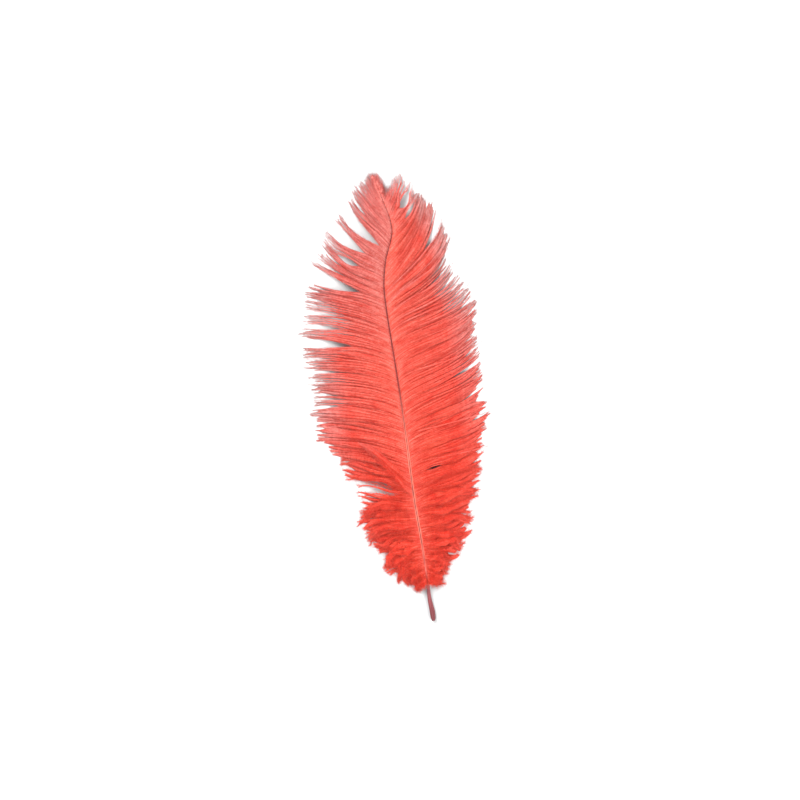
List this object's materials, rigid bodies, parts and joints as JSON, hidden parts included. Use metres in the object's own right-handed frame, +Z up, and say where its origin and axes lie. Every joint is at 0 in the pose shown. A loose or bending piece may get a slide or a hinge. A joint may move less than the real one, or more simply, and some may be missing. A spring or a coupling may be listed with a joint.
{
  "type": "ostrich plume",
  "caption": "Dyed coral-red ostrich plume lying down: a bare quill, an arched shaft and two soft vanes of drooping barbs in pointed locks",
  "frame": {"origin": "on the surface that the plume lies on, under the middle of its bounding box", "axes": "+Y from the bare quill to the tip, +Z up from the surface, +X to the right as seen from above"},
  "size_m": [0.0768, 0.1802, 0.0113],
  "materials": {
    "barbs": "matte, downy",
    "shaft": "satin, horny"
  },
  "bodies": {
    "root": {"plume": "barbs"}
  },
  "joints": []
}
